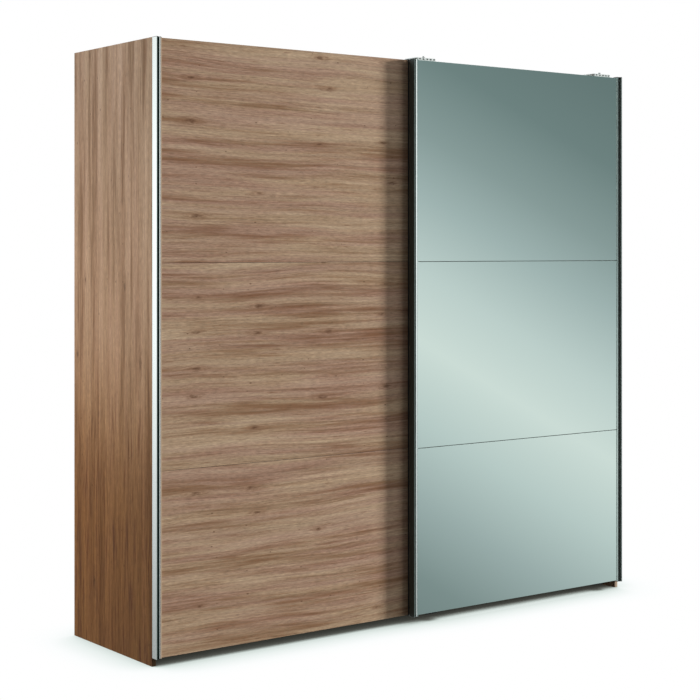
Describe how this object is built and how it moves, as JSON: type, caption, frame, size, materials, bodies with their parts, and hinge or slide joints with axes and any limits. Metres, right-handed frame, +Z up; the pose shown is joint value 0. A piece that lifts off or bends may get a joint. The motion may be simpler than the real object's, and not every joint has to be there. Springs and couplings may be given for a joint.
{
  "type": "sliding door wardrobe",
  "caption": "Free-standing board wardrobe with a wood-look door and a mirror door that slide past each other on top-hung rollers.",
  "frame": {"origin": "on the floor, under the middle of the overall box", "axes": "+X to the right when facing the doors, +Y from the doors towards the wall behind, +Z up"},
  "size_m": [2.245, 0.6366, 2.177],
  "materials": {
    "door_wood": "satin melamine with a horizontal planked nut-wood grain",
    "side_wood": "satin melamine with a vertical nut-wood grain",
    "interior_board": "matt light linen-look melamine",
    "backboard": "printed hardboard",
    "white_plastic": "matt extruded plastic",
    "rail_chrome": "polished tube",
    "zinc_steel": "zinc-plated pressed steel",
    "track_aluminium": "mill-finish extrusion",
    "handle_aluminium": "satin silver anodised extrusion",
    "black_nylon": "moulded black nylon",
    "roller_nylon": "moulded grey nylon",
    "joint_strip": "dark satin strip",
    "mirror_glass": "silvered float glass with a slight green-grey tint"
  },
  "bodies": {
    "carcass": {"side_panel_left": "side_wood", "side_panel_right": "side_wood", "spacer_strip_right": "side_wood", "plinth_left": "side_wood", "plinth_right": "side_wood", "centre_partition": "interior_board", "top_panel_left": "interior_board", "top_panel_right": "interior_board", "bottom_panel_left": "interior_board", "bottom_panel_right": "interior_board", "shelf_left": "interior_board", "shelf_right": "interior_board", "back_panel_left_outer": "backboard", "back_panel_left_inner": "backboard", "back_panel_right_outer": "backboard", "back_panel_right_inner": "backboard", "back_joiner_left": "white_plastic", "back_joiner_right": "white_plastic", "clothes_rail_left": "rail_chrome", "clothes_rail_right": "rail_chrome", "rail_bracket_left_outer": "zinc_steel", "rail_bracket_left_inner": "zinc_steel", "rail_bracket_right_outer": "zinc_steel", "rail_bracket_right_inner": "zinc_steel", "running_track": "track_aluminium", "guide_rail": "track_aluminium", "track_stop_front_left": "black_nylon", "track_stop_front_right": "black_nylon", "track_stop_rear_left": "black_nylon", "track_stop_rear_right": "black_nylon"},
    "left_door": {"left_door_panel_lower": "door_wood", "left_door_panel_middle": "door_wood", "left_door_panel_upper": "door_wood", "left_door_hanger_left": "zinc_steel", "left_door_hanger_right": "zinc_steel", "left_door_handle_left": "handle_aluminium", "left_door_handle_right": "handle_aluminium", "left_door_guide_left": "black_nylon", "left_door_guide_right": "black_nylon", "left_door_joint_lower": "joint_strip", "left_door_joint_upper": "joint_strip"},
    "right_door": {"right_door_backing_lower": "interior_board", "right_door_backing_middle": "interior_board", "right_door_backing_upper": "interior_board", "right_door_hanger_left": "zinc_steel", "right_door_hanger_right": "zinc_steel", "right_door_handle_left": "handle_aluminium", "right_door_handle_right": "handle_aluminium", "right_door_guide_left": "black_nylon", "right_door_guide_right": "black_nylon", "right_door_joint_lower": "joint_strip", "right_door_joint_upper": "joint_strip", "right_door_mirror_lower": "mirror_glass", "right_door_mirror_middle": "mirror_glass", "right_door_mirror_upper": "mirror_glass"},
    "left_door_roller_left": {"left_door_roller_left": "roller_nylon"},
    "left_door_roller_right": {"left_door_roller_right": "roller_nylon"},
    "right_door_roller_left": {"right_door_roller_left": "roller_nylon"},
    "right_door_roller_right": {"right_door_roller_right": "roller_nylon"}
  },
  "joints": [
    {"name": "left_door_slide", "type": "slide", "parent": "carcass", "child": "left_door", "axis": [1, 0, 0], "range_m": [0, 1.092]},
    {"name": "right_door_slide", "type": "slide", "parent": "carcass", "child": "right_door", "axis": [1, 0, 0], "range_m": [-1.104, 0]},
    {"name": "left_door_roller_left_spin", "type": "hinge", "parent": "left_door", "child": "left_door_roller_left", "pos_m": [-1.032, -0.23175, 2.1363], "axis": [0, 1, 0], "continuous": true},
    {"name": "left_door_roller_right_spin", "type": "hinge", "parent": "left_door", "child": "left_door_roller_right", "pos_m": [-0.072, -0.23175, 2.1363], "axis": [0, 1, 0], "continuous": true},
    {"name": "right_door_roller_left_spin", "type": "hinge", "parent": "right_door", "child": "right_door_roller_left", "pos_m": [0.068, -0.20175, 2.1363], "axis": [0, 1, 0], "continuous": true},
    {"name": "right_door_roller_right_spin", "type": "hinge", "parent": "right_door", "child": "right_door_roller_right", "pos_m": [1.028, -0.20175, 2.1363], "axis": [0, 1, 0], "continuous": true}
  ],
  "couplings": [
    {"joint": "left_door_roller_left_spin", "follows": "left_door_slide", "rad_per_m": 81.301},
    {"joint": "left_door_roller_right_spin", "follows": "left_door_slide", "rad_per_m": 81.301},
    {"joint": "right_door_roller_left_spin", "follows": "right_door_slide", "rad_per_m": 81.301},
    {"joint": "right_door_roller_right_spin", "follows": "right_door_slide", "rad_per_m": 81.301}
  ]
}
